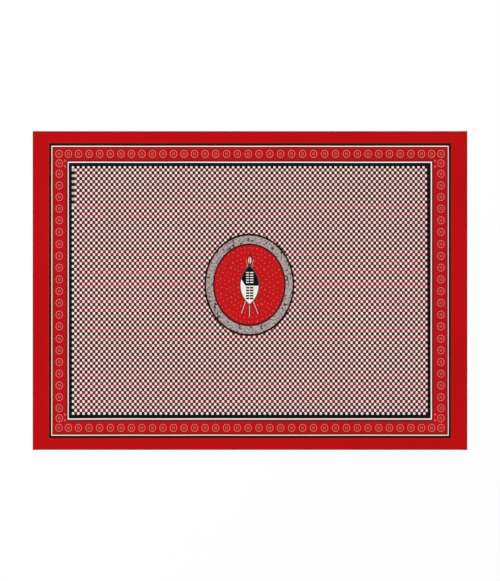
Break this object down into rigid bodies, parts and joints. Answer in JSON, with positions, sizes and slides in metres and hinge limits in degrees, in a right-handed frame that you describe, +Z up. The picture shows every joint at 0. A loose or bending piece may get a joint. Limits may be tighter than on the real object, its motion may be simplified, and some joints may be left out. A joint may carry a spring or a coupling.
{
  "type": "kanga",
  "caption": "Rectangular printed cotton wrap cloth, laid flat: bordered check print with an oval centre, hemmed cut ends.",
  "frame": {"origin": "middle of the cloth's flat underside, on the surface that it rests on", "axes": "+X along the cloth's length, +Y towards the top of its print, +Z up out of its printed side"},
  "size_m": [1.5, 1.1, 0.0024],
  "materials": {
    "printed_cotton": "matte"
  },
  "bodies": {
    "root": {"kanga_cloth": "printed_cotton"}
  },
  "joints": []
}
